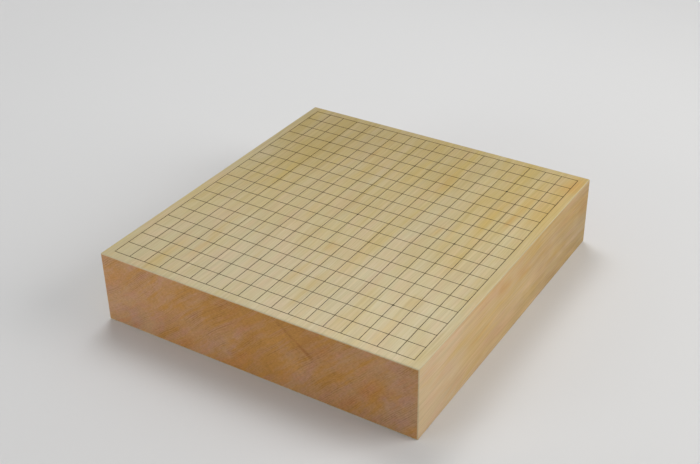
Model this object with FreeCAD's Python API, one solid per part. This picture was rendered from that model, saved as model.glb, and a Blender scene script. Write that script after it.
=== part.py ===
import FreeCAD, Part
import os

from FreeCAD import Placement, Rotation, Vector

# A solid table-top go board: one block of wood with the playing grid laid on its top face
# in raised lacquer, stroke by stroke, and nine star points dotted on the crossings.
# Millimetres. The origin is the middle of the underside, +X runs from the player's left to
# right, +Y runs along the grain towards the opponent, and +Z is up.

# Playing grid
LINES = 19                # lines each way
CELL_ACROSS = 22.0        # from line to line, left to right
CELL_ALONG = 23.7         # from line to line, towards the opponent
STAR_INSET_LINES = 3      # lines from the edge of the grid in to the outer star points

# Block
BLOCK_HEIGHT = 93.0
MARGIN_ACROSS = 12.0      # bare wood outside the first and last column
MARGIN_ALONG = 11.7       # bare wood outside the first and last row
ARRIS = 1.2               # flat planed along every edge of the block

# Lacquer
LINE_WIDTH = 0.75         # width of every stroke where it meets the wood
FLANK_LEAN = 0.12         # how far each side and end of a stroke leans in
COLUMN_RISE = 0.10        # height of a stroke along the grain
LAP_FILM = 0.08           # lacquer of a stroke across the grain, over the ones that it crosses
STAR_DIAMETER = 2.4
STAR_CROWN_DIAMETER = 1.2     # flat on top of a star point
STAR_LEAN = 0.25          # how far a star point's side leans in, up to the strokes' height
STAR_FILM = 0.10          # lacquer of a star point above the strokes under it

# Worked out from the sizes above
GRID_ACROSS = (LINES - 1) * CELL_ACROSS
GRID_ALONG = (LINES - 1) * CELL_ALONG
BLOCK_WIDTH = GRID_ACROSS + 2 * MARGIN_ACROSS
BLOCK_LENGTH = GRID_ALONG + 2 * MARGIN_ALONG
ROW_RISE = COLUMN_RISE + LAP_FILM
STAR_RISE = ROW_RISE + STAR_FILM
STAR_LINES = (STAR_INSET_LINES, LINES // 2, LINES - 1 - STAR_INSET_LINES)

COLUMN_LETTERS = "abcdefghjklmnopqrstuvwxyz"    # columns are lettered without an i


def line_offset(index, cell):
    """Distance of a line from the middle of the board."""
    return (index - (LINES - 1) / 2) * cell


def board_block():
    """The block, flat underneath, with a fine arris on all twelve edges."""
    corner = Vector(-BLOCK_WIDTH / 2, -BLOCK_LENGTH / 2, 0)
    block = Part.makeBox(BLOCK_WIDTH, BLOCK_LENGTH, BLOCK_HEIGHT, corner)
    return block.makeChamfer(ARRIS, block.Edges)


def stroke(length, rise):
    """A lacquer stroke along X, over the middle of the block's top face.

    It is a low bar whose sides and ends all lean in, as a bead of lacquer settles.
    """
    top_length = length - FLANK_LEAN
    top_width = LINE_WIDTH - FLANK_LEAN
    bead = Part.makeWedge(0, 0, 0, FLANK_LEAN, FLANK_LEAN, length, rise, LINE_WIDTH, top_width, top_length)
    bead.Placement = Placement(Vector(-length / 2, LINE_WIDTH / 2, BLOCK_HEIGHT), Rotation(Vector(1, 0, 0), 90))
    return bead


def column_line(index):
    """A stroke along the grain; each end stops under the outer row's stroke."""
    bead = stroke(GRID_ALONG + LINE_WIDTH - 2 * LAP_FILM, COLUMN_RISE)
    bead.rotate(Vector(0, 0, 0), Vector(0, 0, 1), 90)
    bead.translate(Vector(line_offset(index, CELL_ACROSS), 0, 0))
    return bead


def row_line(index, columns):
    """A stroke across the grain, laid over every column stroke that it crosses."""
    bead = stroke(GRID_ACROSS + LINE_WIDTH + 2 * LAP_FILM, ROW_RISE)
    bead.translate(Vector(0, line_offset(index, CELL_ALONG), 0))
    return bead.cut(columns)


def star_point(column_index, row_index, crossing):
    """A round drop of lacquer that has settled over the two strokes of a crossing."""
    rim = STAR_DIAMETER / 2
    crown = STAR_CROWN_DIAMETER / 2
    outline = [
        Vector(0, 0, 0),
        Vector(rim, 0, 0),
        Vector(rim - STAR_LEAN, 0, ROW_RISE),
        Vector(crown, 0, STAR_RISE),
        Vector(0, 0, STAR_RISE),
        Vector(0, 0, 0),
    ]
    drop = Part.Face(Part.makePolygon(outline)).revolve(Vector(0, 0, 0), Vector(0, 0, 1), 360)
    across = line_offset(column_index, CELL_ACROSS)
    along = line_offset(row_index, CELL_ALONG)
    drop.translate(Vector(across, along, BLOCK_HEIGHT))
    return drop.cut(crossing)


def build():
    """Every piece of the board, by node name."""
    columns = [column_line(index) for index in range(LINES)]
    rows = [row_line(index, columns) for index in range(LINES)]
    pieces = {"board_block": board_block()}
    for letter, bead in zip(COLUMN_LETTERS, columns):
        pieces[f"column_line_{letter}"] = bead
    for number, bead in enumerate(rows, start=1):
        pieces[f"row_line_{number:02d}"] = bead
    for row_index in STAR_LINES:
        for column_index in STAR_LINES:
            name = f"star_point_{COLUMN_LETTERS[column_index]}{row_index + 1}"
            crossing = [columns[column_index], rows[row_index]]
            pieces[name] = star_point(column_index, row_index, crossing)
    return pieces


os.makedirs("parts", exist_ok=True)
for node, shape in build().items():
    shape.exportStep(f"parts/{node}.step")
    print(f"{node}: {len(shape.Solids)} solid, {shape.Volume:.3f} mm3, valid {shape.isValid()}")
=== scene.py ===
"""Dresses a solid table-top go board: the block's wood, the lacquer grid and a plain studio."""
import logging
import math
from dataclasses import dataclass
from enum import Enum
from typing import Sequence, Union

import bmesh
import bpy
from mathutils import Matrix, Vector, noise


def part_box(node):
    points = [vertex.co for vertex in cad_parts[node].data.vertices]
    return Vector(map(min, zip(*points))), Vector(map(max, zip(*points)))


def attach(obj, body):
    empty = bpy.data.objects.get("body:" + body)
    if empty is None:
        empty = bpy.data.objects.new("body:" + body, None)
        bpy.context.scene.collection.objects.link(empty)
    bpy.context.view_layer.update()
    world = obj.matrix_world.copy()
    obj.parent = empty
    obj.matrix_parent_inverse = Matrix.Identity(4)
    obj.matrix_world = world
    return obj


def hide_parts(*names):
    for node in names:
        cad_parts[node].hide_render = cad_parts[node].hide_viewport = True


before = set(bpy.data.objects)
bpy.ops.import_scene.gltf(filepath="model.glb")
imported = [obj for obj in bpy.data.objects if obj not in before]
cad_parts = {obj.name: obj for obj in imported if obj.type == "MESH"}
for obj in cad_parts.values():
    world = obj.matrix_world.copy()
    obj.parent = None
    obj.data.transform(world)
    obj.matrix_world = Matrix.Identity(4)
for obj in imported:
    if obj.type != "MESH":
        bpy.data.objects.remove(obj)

Feed = Union[float, Sequence[float], bpy.types.NodeSocket]

MM = 0.001
BODY = "root"
BLOCK_NODE = "board_block"
# the arrises' blend towards a paler colour: partly polished wear, partly a painted highlight where they
# catch the light
ARRIS_WEAR_AND_HIGHLIGHT = "arris_wear_and_highlight"

log = logging.getLogger("go_board")


class Slot(Enum):
    """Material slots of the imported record."""

    WOOD = "solid_wood"
    LACQUER = "lacquer"


class Sawn(Enum):
    """How a surface of the block lies in the log, and its material index."""

    FACE = 0
    EDGE = 1
    END = 2


class Sheet:
    """A node tree that is wired by handing each new node its values or sockets."""

    def __init__(self, tree: bpy.types.NodeTree) -> None:
        """Takes over a tree and empties it.

        Args:
            tree: A material's node tree or a node group.
        """
        self.tree = tree
        self.tree.nodes.clear()

    def feed(self, socket: bpy.types.NodeSocket, value: Feed) -> None:
        """Gives a socket its value, by a link or as its default.

        Args:
            socket: The input to set.
            value: Another node's output, a number, or a vector or colour.
        """
        if isinstance(value, bpy.types.NodeSocket):
            self.tree.links.new(value, socket)
        elif hasattr(socket.default_value, "__len__") and len(socket.default_value) == 4:
            socket.default_value = (*value, 1.0) if len(value) == 3 else tuple(value)
        else:
            socket.default_value = value

    def add(self, kind: str, *values: Feed, **settings: object) -> bpy.types.Node:
        """Adds a node.

        Args:
            kind: The node's type, without its ShaderNode prefix.
            values: What its inputs are fed, in order.
            settings: Properties of the node, such as operation.

        Returns:
            The new node.
        """
        node = self.tree.nodes.new("ShaderNode" + kind)
        for name, setting in settings.items():
            setattr(node, name, setting)
        for socket, value in zip(node.inputs, values):
            self.feed(socket, value)
        return node

    def math(self, operation: str, *values: Feed, clamp: bool = False) -> bpy.types.NodeSocket:
        """Puts numbers through a Math node.

        Args:
            operation: The Math node's operation.
            values: One to three numbers or sockets.
            clamp: Whether the result is held between 0 and 1.

        Returns:
            The result's socket.
        """
        return self.add("Math", *values, operation=operation, use_clamp=clamp).outputs[0]

    def total(self, terms: Sequence[bpy.types.NodeSocket]) -> bpy.types.NodeSocket:
        """Adds up sockets.

        Args:
            terms: At least one number's socket.

        Returns:
            The sum's socket.
        """
        result = terms[0]
        for term in terms[1:]:
            result = self.math("ADD", result, term)
        return result

    def scaled(self, vector: Feed, by: Feed) -> bpy.types.NodeSocket:
        """Scales a vector on each axis.

        Args:
            vector: What is scaled.
            by: The three factors, as a vector.

        Returns:
            The vector's socket.
        """
        return self.add("VectorMath", vector, by, operation="MULTIPLY").outputs[0]

    def ramp(
        self, value: Feed, start: float, end: float, low: float = 0.0, high: float = 1.0
    ) -> bpy.types.NodeSocket:
        """Takes a value smoothly from one level to another.

        Args:
            value: What is mapped.
            start: The value at which the result is low.
            end: The value at which the result is high.
            low: The result at the start and before it.
            high: The result at the end and past it.

        Returns:
            The result's socket.
        """
        node = self.add("MapRange", value, start, end, low, high, interpolation_type="SMOOTHSTEP")
        return node.outputs[0]

    def noise(
        self, place: Feed, scale: float = 1.0, detail: float = 2.0, rough: float = 0.5
    ) -> bpy.types.NodeSocket:
        """Samples soft noise that is centred on 0.

        Args:
            place: The position, as a vector.
            scale: Noise cells per unit of the position.
            detail: Octaves past the first.
            rough: How strong the finer octaves are.

        Returns:
            A number's socket, about -1 to 1.
        """
        node = self.add("TexNoise", noise_dimensions="3D")
        self.feed(node.inputs["Vector"], place)
        self.feed(node.inputs["Scale"], scale)
        self.feed(node.inputs["Detail"], detail)
        self.feed(node.inputs["Roughness"], rough)
        return self.math("MULTIPLY_ADD", node.outputs[0], 2.0, -1.0)

    def blend(self, share: Feed, first: Feed, second: Feed) -> bpy.types.NodeSocket:
        """Mixes two colours.

        Args:
            share: How much of the second colour is used.
            first: The colour at share 0.
            second: The colour at share 1.

        Returns:
            The colour's socket.
        """
        node = self.add("Mix", data_type="RGBA", clamp_factor=True)
        self.feed(node.inputs[0], share)
        self.feed(node.inputs[6], first)
        self.feed(node.inputs[7], second)
        return node.outputs[2]

    def bump(self, height: Feed, strength: float, depth: float) -> bpy.types.NodeSocket:
        """Turns a height over the surface into a normal.

        Args:
            height: The height, about 0 to 1.
            strength: How strong the relief is.
            depth: Depth of the relief, in metres.

        Returns:
            The normal's socket.
        """
        node = self.add("Bump")
        self.feed(node.inputs["Strength"], strength)
        self.feed(node.inputs["Distance"], depth)
        self.feed(node.inputs["Height"], height)
        return node.outputs[0]

    def place(self, group: bpy.types.NodeTree, **values: Feed) -> dict[str, bpy.types.NodeSocket]:
        """Places a node group.

        Args:
            group: The group's tree.
            values: Its inputs by name, with spaces as underscores.

        Returns:
            The group's outputs by name.
        """
        node = self.add("Group", node_tree=group)
        for name, value in values.items():
            self.feed(node.inputs[name.replace("_", " ")], value)
        return {socket.name: socket for socket in node.outputs}


class Effect:
    """A shader node group that is built once and placed in each material that uses it.

    Attributes:
        name: The group's name.
        takes: Its inputs, each with its name, its kind and its default.
        gives: Its outputs, each with its name and kind.
    """

    name = "effect"
    takes: Sequence[tuple[str, str, object]] = ()
    gives: Sequence[tuple[str, str]] = ()

    def tree(self) -> bpy.types.NodeTree:
        """Finds the group, or builds it on its first use.

        Returns:
            The group's tree.
        """
        found = bpy.data.node_groups.get(self.name)
        if found:
            return found
        made = bpy.data.node_groups.new(self.name, "ShaderNodeTree")
        sheet = Sheet(made)
        for name, kind, start in self.takes:
            socket = made.interface.new_socket(name, in_out="INPUT", socket_type="NodeSocket" + kind)
            socket.default_value = start
        for name, kind in self.gives:
            made.interface.new_socket(name, in_out="OUTPUT", socket_type="NodeSocket" + kind)
        came = made.nodes.new("NodeGroupInput")
        results = self.wire(sheet, {socket.name: socket for socket in came.outputs})
        goes = made.nodes.new("NodeGroupOutput")
        for name, socket in results.items():
            made.links.new(socket, goes.inputs[name])
        return made

    def wire(self, sheet: Sheet, takes: dict[str, bpy.types.NodeSocket]) -> dict[str, bpy.types.NodeSocket]:
        """Wires the inside of the group; each effect has its own.

        Args:
            sheet: The group's nodes.
            takes: The group's inputs by name.

        Returns:
            What its outputs are fed, by name.
        """
        raise NotImplementedError


class LogPosition(Effect):
    """Turns a place in the block into its place in the log that the block was sawn from.

    Grown is the distance from the log's heart as the rings go, and Around the distance round it,
    both in millimetres. Drift is how far the rings wander from true circles there, and Stray is a
    soft unevenness from about -1 to 1. The waves are given in waves per millimetre on each axis,
    and how far they push a ring in millimetres.
    """

    broad_waves = (0.0075, 0.0030, 0.0075)
    broad_push = 10.0
    local_waves = (0.030, 0.007, 0.030)
    local_push = 2.0
    stray_waves = (0.045, 0.014, 0.045)

    name = "log_position"
    takes = (
        ("Place", "Vector", (0, 0, 0)),
        ("Heart", "Vector", (0, 0, 0)),
        ("Girth", "Float", 1490.0),
    )
    gives = (
        ("Grown", "Float"),
        ("Around", "Float"),
        ("Drift", "Float"),
        ("Stray", "Float"),
        ("Millimetres", "Vector"),
    )

    def wire(self, sheet: Sheet, takes: dict[str, bpy.types.NodeSocket]) -> dict[str, bpy.types.NodeSocket]:
        """Wires the polar position about the heart, with two sizes of wander.

        Args:
            sheet: The group's nodes.
            takes: Place and Heart in metres, and Girth, the radius at which Around is true.

        Returns:
            Grown, Around, Drift, Stray and Millimetres.
        """
        place = sheet.scaled(takes["Place"], (1 / MM,) * 3)
        heart = sheet.scaled(takes["Heart"], (1 / MM,) * 3)
        out = sheet.add("VectorMath", place, heart, operation="SUBTRACT").outputs[0]
        flat = sheet.scaled(out, (1.0, 0.0, 1.0))
        radius = sheet.add("VectorMath", flat, operation="LENGTH").outputs["Value"]
        parts = sheet.add("SeparateXYZ", out)
        angle = sheet.math("ARCTAN2", parts.outputs[2], parts.outputs[0])
        broad = sheet.noise(sheet.scaled(place, self.broad_waves), detail=1.0)
        local = sheet.noise(sheet.scaled(place, self.local_waves))
        wander = sheet.math("MULTIPLY", broad, self.broad_push)
        drift = sheet.math("MULTIPLY_ADD", local, self.local_push, wander)
        return {
            "Grown": sheet.math("ADD", radius, drift),
            "Around": sheet.math("MULTIPLY", angle, takes["Girth"]),
            "Drift": drift,
            "Stray": sheet.noise(sheet.scaled(place, self.stray_waves), rough=0.6),
            "Millimetres": place,
        }


class GrowthRings(Effect):
    """The growth of the log, year by year.

    Rings is the thin dark late wood that ends each year, Years a drift over many years, and
    Fibre the fine lengthwise threads. Rays is the fine hatch that runs out from the heart, Cloud
    a broad, lengthwise unevenness of the wood's colour, Blush its ruddiness, and Resin the
    feathered streaks that follow the rings. Each kind of noise has its stretch out from the
    heart, round it and lengthwise, where a smaller number draws it out longer.
    """

    year_stretch = (1.0, 0.06, 0.03)
    patch_stretch = (0.5, 0.35, 0.16)
    fibre_stretch = (1.0, 0.35, 0.015)
    ray_stretch = (0.05, 1.0, 0.05)
    resin_stretch = (1.0, 0.16, 0.08)
    blush_shift = (311.0, 57.0, 173.0)
    faintest_year = 0.2
    faintest_patch = 0.12

    name = "growth_rings"
    takes = (
        ("Grown", "Float", 0.0),
        ("Around", "Float", 0.0),
        ("Millimetres", "Vector", (0, 0, 0)),
        ("Ring Width", "Float", 2.0),
    )
    gives = (
        ("Rings", "Float"),
        ("Years", "Float"),
        ("Fibre", "Float"),
        ("Rays", "Float"),
        ("Cloud", "Float"),
        ("Blush", "Float"),
        ("Resin", "Float"),
    )

    def wire(self, sheet: Sheet, takes: dict[str, bpy.types.NodeSocket]) -> dict[str, bpy.types.NodeSocket]:
        """Wires a saw-tooth over the radius, with every year's strength its own.

        Args:
            sheet: The group's nodes.
            takes: Grown, Around, Millimetres and Ring Width.

        Returns:
            Rings from 0 to 1, and the others from about -1 to 1.
        """
        along = sheet.add("SeparateXYZ", takes["Millimetres"]).outputs[1]
        spot = sheet.add("CombineXYZ", takes["Grown"], takes["Around"], along).outputs[0]
        slow = sheet.scaled(spot, self.year_stretch)
        count = sheet.math("DIVIDE", takes["Grown"], takes["Ring Width"])
        uneven = sheet.math("MULTIPLY_ADD", sheet.noise(slow, 0.07, 1.0), 2.0, count)
        part = sheet.math("FRACT", uneven)
        late = sheet.math("POWER", part, 2.5)
        early = sheet.ramp(part, 0.0, 0.16, 1.0, 0.0)
        edge = sheet.math("MULTIPLY_ADD", early, 0.8, late, clamp=True)
        year = sheet.add("TexWhiteNoise", noise_dimensions="1D")
        sheet.feed(year.inputs["W"], sheet.math("FLOOR", uneven))
        strength = sheet.ramp(year.outputs["Value"], 0.0, 1.0, self.faintest_year, 1.0)
        patch = sheet.scaled(spot, self.patch_stretch)
        shown = sheet.ramp(sheet.noise(patch, 0.09), -0.25, 0.40, self.faintest_patch, 1.0)
        shifted = sheet.add("VectorMath", patch, self.blush_shift, operation="ADD").outputs[0]
        return {
            "Rings": sheet.math("MULTIPLY", sheet.math("MULTIPLY", edge, strength), shown),
            "Years": sheet.noise(slow, 0.10, 3.0, 0.65),
            "Fibre": sheet.noise(sheet.scaled(spot, self.fibre_stretch), 0.65, 3.0, 0.7),
            "Rays": sheet.noise(sheet.scaled(spot, self.ray_stretch), 0.45, 2.0, 0.6),
            "Cloud": sheet.noise(patch, 0.11, 3.0, 0.55),
            "Blush": sheet.noise(shifted, 0.14, 2.0, 0.55),
            "Resin": sheet.noise(sheet.scaled(spot, self.resin_stretch), 0.13, 3.0, 0.65),
        }


class SoftMark(Effect):
    """A soft-edged mark on two coordinates: bell-shaped across, and flat-topped along."""

    name = "soft_mark"
    stray_along = 0.4
    takes = (
        ("Across", "Float", 0.0),
        ("Along", "Float", 0.0),
        ("Across Middle", "Float", 0.0),
        ("Along Middle", "Float", 0.0),
        ("Across Reach", "Float", 1.0),
        ("Along Reach", "Float", 1.0),
        ("Lean", "Float", 0.0),
        ("Stray", "Float", 0.0),
    )
    gives = (("Mask", "Float"),)

    def wire(self, sheet: Sheet, takes: dict[str, bpy.types.NodeSocket]) -> dict[str, bpy.types.NodeSocket]:
        """Wires the bell, turned by its lean.

        Args:
            sheet: The group's nodes.
            takes: The two coordinates, the mark's middle and reach on each, its lean, and how
                far it strays across, in reaches.

        Returns:
            Mask from 0 to 1.
        """
        far = sheet.math("SUBTRACT", takes["Along"], takes["Along Middle"])
        off = sheet.math("SUBTRACT", takes["Across"], takes["Across Middle"])
        sideways = sheet.math("SUBTRACT", off, sheet.math("MULTIPLY", far, takes["Lean"]))
        onward = sheet.math("MULTIPLY_ADD", off, takes["Lean"], far)
        across = sheet.math("ADD", sheet.math("DIVIDE", sideways, takes["Across Reach"]), takes["Stray"])
        straight = sheet.math("DIVIDE", onward, takes["Along Reach"])
        along = sheet.math("MULTIPLY_ADD", takes["Stray"], self.stray_along, straight)
        cube = sheet.math("POWER", sheet.math("ABSOLUTE", along), 3.0)
        depth = sheet.math("MULTIPLY_ADD", across, across, cube)
        return {"Mask": sheet.math("EXPONENT", sheet.math("MULTIPLY", depth, -1.0))}


@dataclass(frozen=True)
class Mark:
    """One mark on a surface of the block, in millimetres: most are the grain's own, and some are painted
    shade and sheen.

    Attributes:
        across: Its middle across the grain that the surface shows.
        along: Its middle along that grain.
        reach: Distance over which it fades across and along the grain.
        dark: How much darker it is, and below 0 how much paler.
        gold: How far it goes towards the golden colour, and below 0 away from it.
        amber: How far it goes towards the amber colour.
        lean: How far it goes across for each millimetre along.
    """

    across: float
    along: float
    reach: tuple[float, float]
    dark: float = 0.0
    gold: float = 0.0
    amber: float = 0.0
    lean: float = 0.0


@dataclass(frozen=True)
class Log:
    """The log that the block was sawn from.

    Attributes:
        heart: Where the log's heart runs past the block, in metres.
        ring_width: Mean growth in a year, in millimetres.
        girth: Radius at which distances round the heart are true, in millimetres.
    """

    heart: tuple[float, float, float] = (-1.0, 0.0, 1.15)
    ring_width: float = 2.0
    girth: float = 1490.0

    def polar(self, across: float, up: float) -> tuple[float, float]:
        """Finds a place on the block's end in the log.

        Args:
            across: Millimetres from the block's middle along X.
            up: Millimetres above its underside.

        Returns:
            Its distance from the heart and round the heart.
        """
        out_x = across - self.heart[0] / MM
        out_z = up - self.heart[2] / MM
        return math.hypot(out_x, out_z), math.atan2(out_z, out_x) * self.girth


@dataclass(frozen=True)
class WoodFinish:
    """One sawn surface of the block, planed and waxed.

    The first two values under the fields say how far each kind of growth deepens the colour
    towards golden and how far it darkens it, as multiples of the surface's own strength of that
    kind. The next ones are shared by all three surfaces too.

    Attributes:
        name: The material's name.
        sawn: How the surface lies in the log.
        pale: Colour of the plain growth.
        golden: Colour where the wood is deepest.
        amber: Colour of the resinous marks.
        blush: Colour that the plain growth turns to in soft clouds.
        rubbed_and_highlit: Colour of the arrises, partly their polished wear and partly a painted highlight
            where they catch the light.
        depth: How golden the plain growth is.
        rings: How dark the late wood is.
        years: How far the colour drifts over the years.
        fibre: How strong the lengthwise threads are.
        rays: How strong the hatch out from the heart is.
        cloud: How strong the broad clouds are.
        flush: How strong the blush is.
        resin: How strong the feathered streaks are.
        loose: How far the marks stray across, in their own reaches.
        roughness: Mean roughness of the wax.
        sheen: Specular level of the wax.
        marks: The marks that stand out.
    """

    name: str
    sawn: Sawn
    pale: tuple[float, float, float]
    golden: tuple[float, float, float]
    amber: tuple[float, float, float]
    blush: tuple[float, float, float]
    rubbed_and_highlit: tuple[float, float, float]
    depth: float
    rings: float
    years: float
    fibre: float
    rays: float
    cloud: float
    flush: float
    resin: float
    loose: float
    roughness: float
    sheen: float
    marks: tuple[Mark, ...]

    deepening = {"Years": 6.0, "Cloud": 12.0, "Resin": -1.8, "Fibre": 1.2, "Rings": 1.5}
    darkening = {"Rings": 1.0, "Years": 0.5, "Fibre": 1.0, "Rays": 1.0, "Resin": 0.06, "Cloud": 1.0}
    ruddy_resin = 1.6
    blush_between = (-0.3, 0.5)
    broken_by_years = 1.6
    smoother_rings = -0.08
    rougher_clouds = 0.05
    relief = 0.05 * MM
    relief_strength = 0.35
    fibre_relief = 0.5
    marked_above = (45.0, 50.0)
    marked_beyond = (-5.0, 5.0)

    def with_growth(
        self,
        sheet: Sheet,
        start: bpy.types.NodeSocket,
        grain: dict[str, bpy.types.NodeSocket],
        shares: dict[str, float],
    ) -> bpy.types.NodeSocket:
        """Adds the log's growth to a value, each kind by the surface's own strength.

        Args:
            sheet: The material's nodes.
            start: The value without growth.
            grain: The log's growth there, by kind.
            shares: What each kind's strength is multiplied by.

        Returns:
            The sum's socket.
        """
        result = start
        for kind, share in shares.items():
            result = sheet.math("MULTIPLY_ADD", grain[kind], getattr(self, kind.lower()) * share, result)
        return result

    def material(self, wood: Log) -> bpy.types.Material:
        """Builds the material.

        Args:
            wood: The log whose growth the surface cuts through.

        Returns:
            The material.
        """
        made = bpy.data.materials.new(self.name)
        made.use_nodes = True
        sheet = Sheet(made.node_tree)
        place = sheet.add("TexCoord").outputs["Object"]
        at = sheet.place(LogPosition().tree(), Place=place, Heart=wood.heart, Girth=wood.girth)
        grain = sheet.place(
            GrowthRings().tree(),
            Grown=at["Grown"],
            Around=at["Around"],
            Millimetres=at["Millimetres"],
            Ring_Width=wood.ring_width,
        )
        dark, gold, amber = self.figure_and_painted_light(sheet, at, grain, wood)
        flush = sheet.math("MULTIPLY", sheet.ramp(grain["Blush"], *self.blush_between), self.flush)
        tone = sheet.blend(flush, self.pale, self.blush)
        depth = self.with_growth(sheet, sheet.math("ADD", gold, self.depth), grain, self.deepening)
        tone = sheet.blend(sheet.math("ADD", depth, 0.0, clamp=True), tone, self.golden)
        resinous = sheet.math("MAXIMUM", grain["Resin"], 0.0)
        ruddy = sheet.math("MULTIPLY_ADD", resinous, self.resin * self.ruddy_resin, amber, clamp=True)
        tone = sheet.blend(ruddy, tone, self.amber)
        # the arrises are blended towards a paler colour: partly polished wear, partly a painted highlight
        # where they catch the light
        tone = sheet.blend(sheet.add("Attribute", attribute_name=ARRIS_WEAR_AND_HIGHLIGHT).outputs["Fac"], tone, self.rubbed_and_highlit)
        shade = self.with_growth(sheet, dark, grain, self.darkening)
        colour = sheet.add("VectorMath", tone, operation="SCALE")
        sheet.feed(colour.inputs["Scale"], sheet.math("SUBTRACT", 1.0, shade))
        shader = sheet.add("BsdfPrincipled")
        sheet.feed(shader.inputs["Specular IOR Level"], self.sheen)
        sheet.feed(shader.inputs["Base Color"], colour.outputs[0])
        wax = sheet.math("MULTIPLY_ADD", grain["Cloud"], self.rougher_clouds, self.roughness)
        wax = sheet.math("MULTIPLY_ADD", grain["Rings"], self.smoother_rings, wax)
        sheet.feed(shader.inputs["Roughness"], wax)
        height = sheet.math("MULTIPLY_ADD", grain["Fibre"], self.fibre_relief, grain["Rings"])
        sheet.feed(shader.inputs["Normal"], sheet.bump(height, self.relief_strength, self.relief))
        sheet.add("OutputMaterial", shader.outputs[0])
        return made

    def figure_and_painted_light(
        self,
        sheet: Sheet,
        at: dict[str, bpy.types.NodeSocket],
        grain: dict[str, bpy.types.NodeSocket],
        wood: Log,
    ) -> tuple[bpy.types.NodeSocket, bpy.types.NodeSocket, bpy.types.NodeSocket]:
        """Adds up the marks that stand out: the grain's own, and the painted shade and sheen among them.

        The face's marks are placed by X and Y, the edge's by Z and Y, and the end's by X and Z,
        from where they are turned into the log's own coordinates. They show on the upper face,
        the right edge and the near end only.

        Args:
            sheet: The material's nodes.
            at: The place in the log.
            grain: The log's growth there.
            wood: The log.

        Returns:
            How much darker, more golden and more amber the wood is.
        """
        parts = sheet.add("SeparateXYZ", at["Millimetres"]).outputs
        if self.sawn is Sawn.FACE:
            across, along = sheet.math("ADD", parts[0], at["Drift"]), parts[1]
            shown = sheet.ramp(parts[2], *self.marked_above)
        elif self.sawn is Sawn.EDGE:
            across, along = sheet.math("SUBTRACT", parts[2], at["Drift"]), parts[1]
            shown = sheet.ramp(parts[0], *self.marked_beyond)
        else:
            across, along = at["Grown"], at["Around"]
            shown = sheet.ramp(parts[1], *self.marked_beyond, 1.0, 0.0)
        stray = sheet.math("MULTIPLY", at["Stray"], self.loose)
        tallies: dict[str, list[bpy.types.NodeSocket]] = {"dark": [], "gold": [], "amber": []}
        for mark in self.marks:
            middle = (mark.across, mark.along)
            if self.sawn is Sawn.END:
                middle = wood.polar(mark.across, mark.along)
            mask = sheet.place(
                SoftMark().tree(),
                Across=across,
                Along=along,
                Across_Middle=middle[0],
                Along_Middle=middle[1],
                Across_Reach=mark.reach[0],
                Along_Reach=mark.reach[1],
                Lean=mark.lean,
                Stray=stray,
            )["Mask"]
            for name, tally in tallies.items():
                share = getattr(mark, name)
                if share:
                    tally.append(sheet.math("MULTIPLY", mask, share))
        by_years = sheet.math("MULTIPLY_ADD", grain["Years"], self.broken_by_years, 1.0)
        broken = sheet.math("MULTIPLY", by_years, shown)
        dark, gold, amber = (sheet.total(tally) for tally in tallies.values())
        return (
            sheet.math("MULTIPLY", dark, shown),
            sheet.math("MULTIPLY", gold, broken),
            sheet.math("MULTIPLY", amber, broken),
        )


# the upper face is given paler, less red colours than the edge: a painted cool sheen on the same wood
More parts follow.
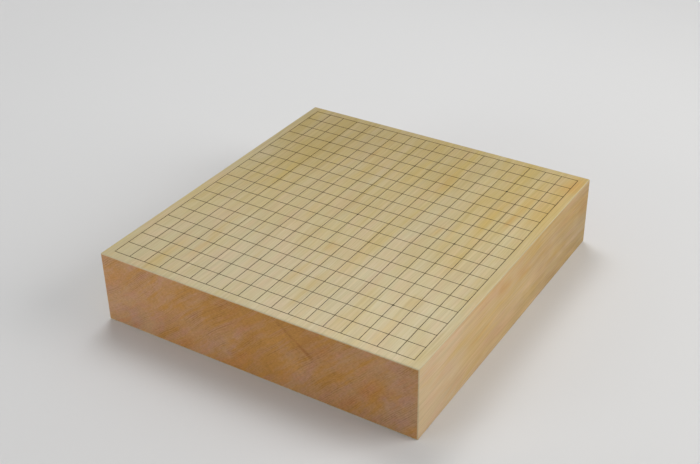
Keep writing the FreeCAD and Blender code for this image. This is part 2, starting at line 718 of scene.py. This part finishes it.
FACE_GRAIN = WoodFinish(
    name="waxed_face_grain",
    sawn=Sawn.FACE,
    pale=(0.542, 0.461, 0.263),
    golden=(0.534, 0.392, 0.121),
    amber=(0.559, 0.330, 0.086),
    blush=(0.574, 0.446, 0.267),
    rubbed_and_highlit=(0.536, 0.456, 0.272),
    depth=0.40,
    rings=0.07,
    years=0.06,
    fibre=0.26,
    rays=0.0,
    cloud=0.03,
    flush=1.0,
    resin=0.33,
    loose=1.0,
    roughness=0.42,
    sheen=0.5,
    marks=(
        # the broad tone: the wood's own clouds with a painted gradient of light over them, darker and more
        # golden towards the far end and far left as painted shade, paler and less golden towards the near
        # end and the right as painted sheen
        Mark(-185, 150, (70, 120), dark=0.03, gold=0.20),
        Mark(-190, 190, (150, 180), dark=0.11),
        Mark(20, 270, (330, 190), dark=0.06, gold=0.30),
        Mark(60, -260, (330, 210), dark=-0.05, gold=-0.30),
        Mark(-40, 260, (160, 110), dark=0.06),
        Mark(190, 60, (60, 210), dark=-0.08),
        Mark(50, -180, (70, 70), dark=0.04),
        Mark(120, -225, (90, 60), gold=0.20),
        Mark(-150, -200, (75, 110), gold=-0.22),
        # the deep bands and streaks
        Mark(-142, 110, (15, 85), dark=0.02, gold=0.45),
        Mark(-132, 137, (7, 45), dark=0.04, gold=0.30),
        Mark(-150, 5, (5, 70), dark=0.01, gold=0.35),
        Mark(-110, 60, (2.2, 165), dark=0.04, gold=0.12),
        Mark(-63, 165, (4.0, 42), dark=0.04, gold=0.50, amber=0.30),
        Mark(-64, 142, (2.6, 16), dark=0.07, gold=0.25, amber=0.25),
        Mark(54, 165, (7, 40), gold=0.30),
        Mark(-50, -25, (4, 16), gold=0.25, amber=0.15),
        Mark(148, -128, (7, 13), gold=0.30, amber=0.25),
        Mark(-20, 60, (1.8, 70), dark=0.05, gold=0.20),
        Mark(-25, -95, (1.8, 60), dark=0.04, gold=0.20),
        Mark(57, 120, (6, 32), dark=0.02, gold=0.35, amber=0.28),
        Mark(54, -40, (8, 110), dark=0.01, gold=0.27),
        Mark(35, -170, (6, 44), dark=0.02, gold=0.34, amber=0.10),
        Mark(102, -160, (10, 44), dark=0.02, gold=0.42),
        Mark(148, -185, (6, 34), dark=0.02, gold=0.40, amber=0.15),
        Mark(100, 12, (4, 12), dark=0.03, gold=0.25, amber=0.25),
        Mark(142, 85, (5, 50), gold=0.25, amber=0.10),
        Mark(148, -5, (6, 50), dark=0.01, gold=0.40, amber=0.10),
        Mark(165, 120, (5, 62), dark=0.01, gold=0.25, amber=0.35),
        Mark(163, 80, (3.5, 14), dark=0.06, gold=0.20, amber=0.45),
        Mark(198, 198, (14, 20), amber=0.60),
        Mark(190, 150, (26, 70), gold=0.10, amber=0.22),
        Mark(8, -78, (5, 11), dark=0.05, gold=0.35, amber=0.35),
        Mark(7, -140, (6, 24), dark=0.02, gold=0.35, amber=0.20),
        Mark(-125, -102, (3.5, 26), dark=0.03, gold=0.25, amber=0.20),
        Mark(-143, -190, (9, 38), dark=0.01, gold=0.35, amber=0.15),
        Mark(-117, -145, (5, 34), dark=0.02, gold=0.35, amber=0.20),
        # the pale bands
        Mark(-190, 85, (8, 40), gold=-0.35),
        Mark(-28, 90, (4, 40), dark=-0.02, gold=-0.30),
        Mark(80, 60, (14, 80), gold=-0.25),
        Mark(180, 0, (12, 75), dark=-0.01, gold=-0.35),
        Mark(-75, -150, (30, 70), gold=-0.30),
        Mark(-23, -180, (4, 30), dark=-0.02, gold=-0.30),
        Mark(75, -100, (10, 90), dark=-0.01, gold=-0.25),
        Mark(185, -120, (14, 60), gold=-0.25),
    ),
)

# warmer and redder than the upper face: the same wood, without the cool sheen painted on the upper face
EDGE_GRAIN = WoodFinish(
    name="waxed_edge_grain",
    sawn=Sawn.EDGE,
    pale=(0.554, 0.416, 0.242),
    golden=(0.550, 0.353, 0.096),
    amber=(0.546, 0.270, 0.078),
    blush=(0.566, 0.392, 0.243),
    rubbed_and_highlit=(0.518, 0.414, 0.249),
    depth=0.30,
    rings=0.06,
    years=0.020,
    fibre=0.27,
    rays=0.0,
    cloud=0.020,
    flush=1.0,
    resin=0.54,
    loose=1.2,
    roughness=0.50,
    sheen=0.22,
    marks=(
        # the broad tone: darker and more golden towards the far end, paler and less golden towards the near
        # end; the wood's own tone with a painted gradient of shade and sheen over it
        Mark(40, 250, (120, 240), dark=0.25, gold=0.25),
        Mark(0, 270, (70, 90), dark=0.09),
        Mark(50, -210, (90, 90), dark=-0.04, gold=-0.35),
        Mark(88, 0, (6, 260), dark=-0.01, gold=0.15),
        Mark(72, -25, (8, 17), dark=0.02, gold=0.15, amber=0.35, lean=-0.3),
        Mark(63, 26, (7, 20), dark=0.02, gold=0.15, amber=0.40, lean=-0.1),
        Mark(42, -90, (2.2, 32), dark=0.04, gold=0.30, amber=0.25),
        Mark(22, -72, (2.5, 26), dark=0.04, gold=0.30, amber=0.25),
        Mark(33, -88, (16, 45), gold=0.30),
        Mark(60, 88, (5, 18), dark=0.01, gold=0.25, amber=0.20),
        Mark(70, 175, (12, 48), dark=0.01, gold=0.30, amber=0.20),
        Mark(60, 208, (9, 14), dark=0.03, gold=0.25, amber=0.45),
        Mark(34, 185, (8, 36), dark=0.02, gold=0.25, amber=0.10),
        Mark(20, -200, (30, 60), gold=-0.25),
    ),
)

END_GRAIN = WoodFinish(
    name="waxed_end_grain",
    sawn=Sawn.END,
    pale=(0.480, 0.284, 0.144),
    golden=(0.490, 0.241, 0.059),
    amber=(0.528, 0.215, 0.061),
    blush=(0.480, 0.268, 0.178),
    rubbed_and_highlit=(0.610, 0.425, 0.250),
    depth=0.42,
    rings=0.38,
    years=0.12,
    fibre=0.28,
    rays=0.10,
    cloud=0.02,
    flush=1.0,
    resin=0.74,
    loose=1.5,
    roughness=0.52,
    sheen=0.2,
    marks=(
        # the tone falls off to the right, and the middle is golden
        Mark(215, 45, (150, 150), dark=0.09),
        # the upper middle is also darkened as painted shade, evening out the stronger light high on this
        # face; its golden tone is the wood's own
        Mark(38, 88, (60, 95), dark=0.05, gold=0.50),
        Mark(-214, 34, (50, 80), gold=-0.40),
        Mark(-40, 88, (30, 60), dark=0.03, gold=0.10),
        Mark(-60, 12, (18, 30), gold=-0.20),
        Mark(62, 22, (22, 30), gold=-0.25),
        Mark(130, 12, (18, 25), gold=-0.15),
        # the deep clouds under the upper arris and at the left
        Mark(18, 66, (9, 20), dark=0.03, gold=0.12),
        Mark(-2, 82, (16, 40), dark=0.02, gold=0.12),
        Mark(-178, 62, (18, 30), dark=0.02, gold=0.36),
        Mark(-118, 56, (22, 36), gold=0.24),
        Mark(-50, 74, (14, 28), dark=0.01, gold=0.12),
        Mark(82, 74, (30, 17), dark=0.06, gold=0.10, amber=0.15),
        Mark(112, 50, (14, 36), gold=0.22),
        Mark(-150, 34, (16, 26), gold=0.16),
        # two years of dense growth
        Mark(-50, 72, (1.0, 30), dark=0.09, gold=0.15),
        Mark(-54, 55, (1.1, 26), dark=0.08, gold=0.15),
        # the ray, with its pale side
        Mark(58, 71, (34, 1.8), dark=0.11, amber=0.30, lean=-0.18),
        Mark(77, 57, (12, 2.4), dark=0.15, amber=0.45, lean=-0.18),
        Mark(38, 50, (30, 15), dark=-0.07, gold=-0.25),
        # the ruddy patches low down
        Mark(-20, 12, (8, 26), amber=0.32),
        Mark(-100, 8, (6, 18), amber=0.35),
        Mark(48, 16, (7, 16), dark=0.02, amber=0.30),
        Mark(155, 42, (9, 16), dark=0.02, amber=0.40),
        Mark(124, 8, (6, 16), amber=0.35),
        Mark(-205, 60, (5, 24), amber=0.40),
        # the pale clouds
        Mark(-166, 14, (16, 38), gold=-0.55),
        Mark(-86, 44, (8, 24), gold=-0.30),
        Mark(-34, 40, (16, 34), dark=-0.02, gold=-0.40),
        Mark(196, 24, (18, 34), gold=-0.60),
        Mark(166, 38, (8, 18), gold=0.40),
        Mark(190, 70, (16, 22), gold=-0.35),
    ),
)


@dataclass(frozen=True)
class LacquerFinish:
    """Dark brushed-on lacquer of the grid.

    Attributes:
        name: The material's name.
        deep: Colour where the lacquer lies thick.
        thin: Colour where it has been drawn out thin over the wood.
        roughness: Mean roughness.
        sheen: Specular level.
    """

    name: str = "grid_lacquer"
    deep: tuple[float, float, float] = (0.018, 0.012, 0.003)
    thin: tuple[float, float, float] = (0.050, 0.034, 0.006)
    roughness: float = 0.45
    sheen: float = 0.06

    relief = 0.02 * MM

    def material(self) -> bpy.types.Material:
        """Builds the material.

        Returns:
            The material.
        """
        made = bpy.data.materials.new(self.name)
        made.use_nodes = True
        sheet = Sheet(made.node_tree)
        place = sheet.add("TexCoord").outputs["Object"]
        film = sheet.ramp(sheet.noise(place, 140.0, 3.0, 0.6), -0.5, 0.7)
        shader = sheet.add("BsdfPrincipled")
        sheet.feed(shader.inputs["Specular IOR Level"], self.sheen)
        sheet.feed(shader.inputs["Base Color"], sheet.blend(film, self.deep, self.thin))
        sheet.feed(shader.inputs["Roughness"], sheet.math("MULTIPLY_ADD", film, 0.12, self.roughness))
        sheet.feed(shader.inputs["Normal"], sheet.bump(sheet.noise(place, 900.0, 1.0), 0.3, self.relief))
        sheet.add("OutputMaterial", shader.outputs[0])
        return made


def boxed(low: Vector, high: Vector) -> bmesh.types.BMesh:
    """Makes a box.

    Args:
        low: Its lowest corner.
        high: Its highest corner.

    Returns:
        The mesh, in place.
    """
    made = bmesh.new()
    bmesh.ops.create_cube(made, size=1.0)
    bmesh.ops.scale(made, vec=high - low, verts=made.verts)
    bmesh.ops.translate(made, vec=(low + high) / 2, verts=made.verts)
    return made


def rounded(mesh: bmesh.types.BMesh, edges: Sequence[bmesh.types.BMEdge], reach: float, steps: int) -> None:
    """Rounds some of a mesh's edges.

    Args:
        mesh: The mesh.
        edges: Which of its edges are rounded.
        reach: How far the rounding reaches from the edge.
        steps: Segments across the rounding.
    """
    bmesh.ops.bevel(
        mesh, geom=edges, offset=reach, affect="EDGES", segments=steps, profile=0.5, material=-1
    )


def finished(
    name: str, mesh: bmesh.types.BMesh, materials: Sequence[bpy.types.Material]
) -> bpy.types.Object:
    """Makes a smooth-shaded object of a finished mesh and puts it in the scene.

    Args:
        name: The piece's name.
        mesh: The mesh, in place; it is freed.
        materials: Its materials, in order.

    Returns:
        The object, at the origin.
    """
    bmesh.ops.recalc_face_normals(mesh, faces=mesh.faces)
    for face in mesh.faces:
        face.smooth = True
    data = bpy.data.meshes.new(name)
    mesh.to_mesh(data)
    mesh.free()
    for material in materials:
        data.materials.append(material)
    piece = bpy.data.objects.new(name, data)
    bpy.context.scene.collection.objects.link(piece)
    return piece


def seat(piece: bpy.types.Object, node: str) -> None:
    """Makes a piece stand for its solid and ride with the board.

    Args:
        piece: The finished piece.
        node: The solid that it stands for.
    """
    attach(piece, BODY)
    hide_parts(node)


@dataclass
class Block:
    """The block of wood, with softened arrises.

    Attributes:
        arris: How far the softened edge reaches.
        arris_steps: Segments across an arris.
        wood: The log that it was sawn from.
        finishes: Its sawn surfaces, in the order of their material indices.
    """

    arris: float = 1.2 * MM
    arris_steps: int = 4
    wood: Log = Log()
    finishes: tuple[WoodFinish, ...] = (FACE_GRAIN, EDGE_GRAIN, END_GRAIN)

    flat_within = 0.02
    # only the flat ends take the end grain; the arrises round them keep the paler long-grain colours as a
    # painted highlight
    end_on = 0.999
    face_up = 0.1

    def mesh(self) -> bmesh.types.BMesh:
        """Models the block and marks how each face is sawn.

        Returns:
            The mesh, in place.
        """
        low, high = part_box(BLOCK_NODE)
        made = boxed(low, high)
        rounded(made, made.edges[:], self.arris, self.arris_steps)
        middle, reach = (low + high) / 2, (high - low) / 2
        slack = self.arris * self.flat_within
        # marks the middles of the rounded arrises, where the paler colour of wear and painted highlight is
        # blended in
        arris_wear_and_highlight = made.verts.layers.float.new(ARRIS_WEAR_AND_HIGHLIGHT)
        for vert in made.verts:
            off = vert.co - middle
            vert[arris_wear_and_highlight] = float(all(abs(off[axis]) < reach[axis] - slack for axis in range(3)))
        for face in made.faces:
            face.material_index = self.sawn(face.normal).value
        return made

    def sawn(self, normal: Vector) -> Sawn:
        """Says how a face of the block lies in the log; the rounded arrises at its ends are counted as face
        or edge grain, which paints a highlight along them.

        Args:
            normal: The face's outward direction.

        Returns:
            Face, edge or end grain.
        """
        if abs(normal.y) > self.end_on:
            return Sawn.END
        return Sawn.FACE if abs(normal.z) > max(abs(normal.x), self.face_up) else Sawn.EDGE

    def build(self) -> bpy.types.Object:
        """Builds and seats the block.

        Returns:
            The block.
        """
        piece = finished("block", self.mesh(), [finish.material(self.wood) for finish in self.finishes])
        seat(piece, BLOCK_NODE)
        return piece


@dataclass
class LacquerGrid:
    """The strokes and star points of the playing grid.

    Attributes:
        drawn: The lacquer of the strokes.
        pooled: The lacquer of the star points.
        shoulder: How far a stroke's top edges are rounded, as a share of its height.
        shoulder_steps: Segments across a rounded edge.
        stations: Sections along a stroke.
        swell: How much a stroke's width changes along it, as a share of its width.
        swell_waves: Changes of width per metre of stroke.
        star_diameter: Diameter of a star point where it meets the wood, in millimetres.
        star_segments: Segments round a star point.
    """

    drawn: LacquerFinish = LacquerFinish()
    pooled: LacquerFinish = LacquerFinish("pooled_lacquer", (0.006, 0.004, 0.002), (0.012, 0.008, 0.003))
    shoulder: float = 0.9
    shoulder_steps: int = 3
    stations: int = 72
    swell: float = 0.08
    swell_waves: float = 45.0
    star_diameter: float = 2.4
    star_segments: int = 32

    strokes_apart = 900.0

    def stroke(self, node: str) -> bmesh.types.BMesh:
        """Models one stroke as a bead with round shoulders and a hand-drawn width.

        Args:
            node: The stroke's solid.

        Returns:
            The mesh, in place.
        """
        low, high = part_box(node)
        size = high - low
        along = 0 if size.x > size.y else 1
        across = 1 - along
        made = boxed(low, high)
        half_up = high.z - size.z / 2
        top = [edge for edge in made.edges if all(vert.co.z > half_up for vert in edge.verts)]
        rounded(made, top, size.z * self.shoulder, self.shoulder_steps)
        reach = size[along] / 2
        long_edges = [e for e in made.edges if abs(e.verts[0].co[along] - e.verts[1].co[along]) > reach]
        bmesh.ops.subdivide_edges(made, edges=long_edges, cuts=self.stations, use_grid_fill=True)
        middle = (low + high) / 2
        for vert in made.verts:
            spot = Vector((vert.co[along] * self.swell_waves, middle[across] * self.strokes_apart, 0.0))
            share = 1.0 - self.swell * (0.5 + 0.5 * noise.noise(spot))
            vert.co[across] = middle[across] + (vert.co[across] - middle[across]) * share
        return made

    def star(self, node: str) -> bmesh.types.BMesh:
        """Models one star point as a settled drop.

        Args:
            node: The star point's solid.

        Returns:
            The mesh, in place.
        """
        low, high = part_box(node)
        radius = self.star_diameter * MM / 2
        round_steps, rise_steps = self.star_segments, self.star_segments // 2
        made = bmesh.new()
        bmesh.ops.create_uvsphere(made, u_segments=round_steps, v_segments=rise_steps, radius=1.0)
        cut = bmesh.ops.bisect_plane(
            made,
            geom=made.verts[:] + made.edges[:] + made.faces[:],
            plane_co=(0, 0, 0),
            plane_no=(0, 0, 1),
            clear_inner=True,
        )["geom_cut"]
        rim = [item for item in cut if isinstance(item, bmesh.types.BMEdge)]
        bmesh.ops.contextual_create(made, geom=rim)
        bmesh.ops.scale(made, vec=(radius, radius, high.z - low.z), verts=made.verts)
        foot = Vector(((low.x + high.x) / 2, (low.y + high.y) / 2, low.z))
        bmesh.ops.translate(made, vec=foot, verts=made.verts)
        return made

    def build(self) -> list[bpy.types.Object]:
        """Builds and seats every stroke and star point.

        Returns:
            The pieces.
        """
        drawn, pooled = self.drawn.material(), self.pooled.material()
        pieces = []
        for node in sorted(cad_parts):
            if node == BLOCK_NODE:
                continue
            is_star = node.startswith("star")
            made = self.star(node) if is_star else self.stroke(node)
            piece = finished("lacquer_" + node, made, [pooled if is_star else drawn])
            seat(piece, node)
            pieces.append(piece)
        return pieces


@dataclass(frozen=True)
class SoftBox:
    """A square studio lamp.

    Attributes:
        name: The lamp's name.
        position: Where it hangs, in metres.
        side: Length of its side, in metres.
        power: Its power, in watts.
        colour: Its colour.
    """

    name: str
    position: tuple[float, float, float]
    side: float
    power: float
    colour: tuple[float, float, float]

    def build(self, aim: Vector) -> bpy.types.Object:
        """Hangs the lamp.

        Args:
            aim: What it points at.

        Returns:
            The lamp.
        """
        data = bpy.data.lights.new(self.name, "AREA")
        data.size = self.side
        data.energy = self.power
        data.color = self.colour
        lamp = bpy.data.objects.new(self.name, data)
        lamp.location = self.position
        lamp.rotation_euler = (aim - lamp.location).to_track_quat("-Z", "Y").to_euler()
        bpy.context.scene.collection.objects.link(lamp)
        return lamp


@dataclass
class Studio:
    """A pale floor that sweeps up into a round backdrop, and soft lamps.

    Attributes:
        radius: Radius of the flat floor, in metres.
        turn_steps: Segments round the floor.
        sweep: Radius of the curve from the floor to the wall.
        sweep_steps: Segments up that curve.
        wall: Height of the wall above the curve.
        colour: Colour of the floor and wall.
        plain: Level at which the far floor and the wall are seen.
        plain_from: Distance from the board at which that starts and is full, in metres.
        horizon: Strength of the light from low down all round.
        overhead: Strength of the light from above.
        heights: How high the first of these ends and the second is full, from 0 to 1.
        lamps: The lamps.
    """

    radius: float = 3.2
    turn_steps: int = 96
    sweep: float = 0.8
    sweep_steps: int = 10
    wall: float = 0.6
    colour: tuple[float, float, float] = (0.74, 0.74, 0.74)
    plain: float = 0.66
    plain_from: tuple[float, float] = (0.7, 1.9)
    horizon: float = 0.33
    overhead: float = 0.34
    heights: tuple[float, float] = (0.2, 0.9)
    lamps: tuple[SoftBox, ...] = (
        SoftBox("key", (2.1, 0.8, 1.25), 1.8, 38.0, (1.0, 0.98, 0.95)),
        SoftBox("back", (-0.66, 0.84, 2.0), 1.0, 18.0, (0.98, 0.99, 1.0)),
        SoftBox("fill", (-1.3, -2.1, 0.36), 1.4, 23.0, (1.0, 1.0, 1.0)),
    )

    def floor(self) -> bpy.types.Object:
        """Spins the floor and wall round the board.

        Returns:
            The floor.
        """
        made = bmesh.new()
        outline = [made.verts.new((0, 0, 0)), made.verts.new((self.radius, 0, 0))]
        edges = [made.edges.new(outline)]
        turn = bmesh.ops.spin(
            made,
            geom=[outline[1]],
            cent=(self.radius, 0, self.sweep),
            axis=(0, -1, 0),
            angle=math.pi / 2,
            steps=self.sweep_steps,
        )["geom_last"]
        rim = next(item for item in turn if isinstance(item, bmesh.types.BMVert))
        top = made.verts.new(rim.co + Vector((0, 0, self.wall)))
        made.edges.new((rim, top))
        bmesh.ops.spin(
            made,
            geom=made.verts[:] + made.edges[:],
            cent=(0, 0, 0),
            axis=(0, 0, 1),
            angle=2 * math.pi,
            steps=self.turn_steps,
            use_merge=True,
        )
        bmesh.ops.remove_doubles(made, verts=made.verts, dist=MM)
        return finished("floor", made, [self.paper()])

    def paper(self) -> bpy.types.Material:
        """Makes the matt paper, which is seen at one plain level far from the board.

        Returns:
            The material.
        """
        made = bpy.data.materials.new("studio_paper")
        made.use_nodes = True
        sheet = Sheet(made.node_tree)
        shader = sheet.add("BsdfPrincipled")
        sheet.feed(shader.inputs["Base Color"], self.colour)
        sheet.feed(shader.inputs["Roughness"], 0.9)
        sheet.feed(shader.inputs["Specular IOR Level"], 0.2)
        away = sheet.scaled(sheet.add("TexCoord").outputs["Object"], (1.0, 1.0, 0.0))
        reach = sheet.add("VectorMath", away, operation="LENGTH").outputs["Value"]
        path = sheet.add("LightPath").outputs
        seen = sheet.math("MAXIMUM", path["Is Camera Ray"], path["Is Glossy Ray"])
        seen = sheet.math("MAXIMUM", seen, path["Is Transmission Ray"])
        share = sheet.math("MULTIPLY", sheet.ramp(reach, *self.plain_from), seen)
        glow = sheet.add("Emission", (self.plain,) * 3, 1.0).outputs[0]
        sheet.add("OutputMaterial", sheet.add("MixShader", share, shader.outputs[0], glow).outputs[0])
        return made

    def build(self) -> list[bpy.types.Object]:
        """Sets up the floor, the lamps and the light from all round.

        Returns:
            The floor and the lamps.
        """
        floor = self.floor()
        low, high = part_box(BLOCK_NODE)
        lamps = [lamp.build((low + high) / 2) for lamp in self.lamps]
        world = bpy.data.worlds.new("studio_air")
        world.use_nodes = True
        air = Sheet(world.node_tree)
        height = air.add("SeparateXYZ", air.add("TexCoord").outputs["Generated"]).outputs[2]
        glow = air.ramp(height, *self.heights, self.horizon, self.overhead)
        air.add("OutputWorld", air.add("Background", (1.0, 1.0, 1.0), glow).outputs[0])
        bpy.context.scene.world = world
        return [floor, *lamps]


@dataclass
class Viewpoint:
    """The camera.

    Attributes:
        position: Where it stands, in metres.
        aim: The point on the board that it looks at.
        roll: How far it leans, in degrees.
        lens: Focal length, in millimetres.
        film: Width of the film, in millimetres.
        shift: How far the frame is moved, as shares of its width.
        sight: The nearest and the farthest distance that it sees, in metres.
    """

    position: tuple[float, float, float] = (0.63369, -1.01752, 0.81158)
    aim: tuple[float, float, float] = (0.03532, -0.02777, 0.093)
    roll: float = -0.29
    lens: float = 59.173
    film: float = 36.0
    shift: tuple[float, float] = (-0.0298, 0.0007)
    sight: tuple[float, float] = (0.05, 50.0)

    def build(self) -> bpy.types.Object:
        """Sets up the camera.

        Returns:
            The camera.
        """
        data = bpy.data.cameras.new("viewpoint")
        data.lens = self.lens
        data.sensor_width = self.film
        data.shift_x, data.shift_y = self.shift
        data.clip_start, data.clip_end = self.sight
        camera = bpy.data.objects.new("viewpoint", data)
        way = Vector(self.aim) - Vector(self.position)
        turn = way.to_track_quat("-Z", "Y").to_matrix() @ Matrix.Rotation(math.radians(self.roll), 3, "Z")
        camera.matrix_world = Matrix.Translation(self.position) @ turn.to_4x4()
        bpy.context.scene.collection.objects.link(camera)
        bpy.context.scene.camera = camera
        return camera


def main() -> None:
    """Builds the board, the studio and the camera."""
    logging.basicConfig(level=logging.INFO, format="%(name)s: %(message)s")
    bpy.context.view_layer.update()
    block = Block().build()
    log.info("%s: %d faces", block.name, len(block.data.polygons))
    for piece in LacquerGrid().build():
        log.info("%s: %d faces", piece.name, len(piece.data.polygons))
    for item in Studio().build():
        log.info("studio: %s", item.name)
    log.info("camera: %s", Viewpoint().build().name)
    bpy.context.scene.view_settings.view_transform = "Standard"


if __name__ == "__main__":
    main()
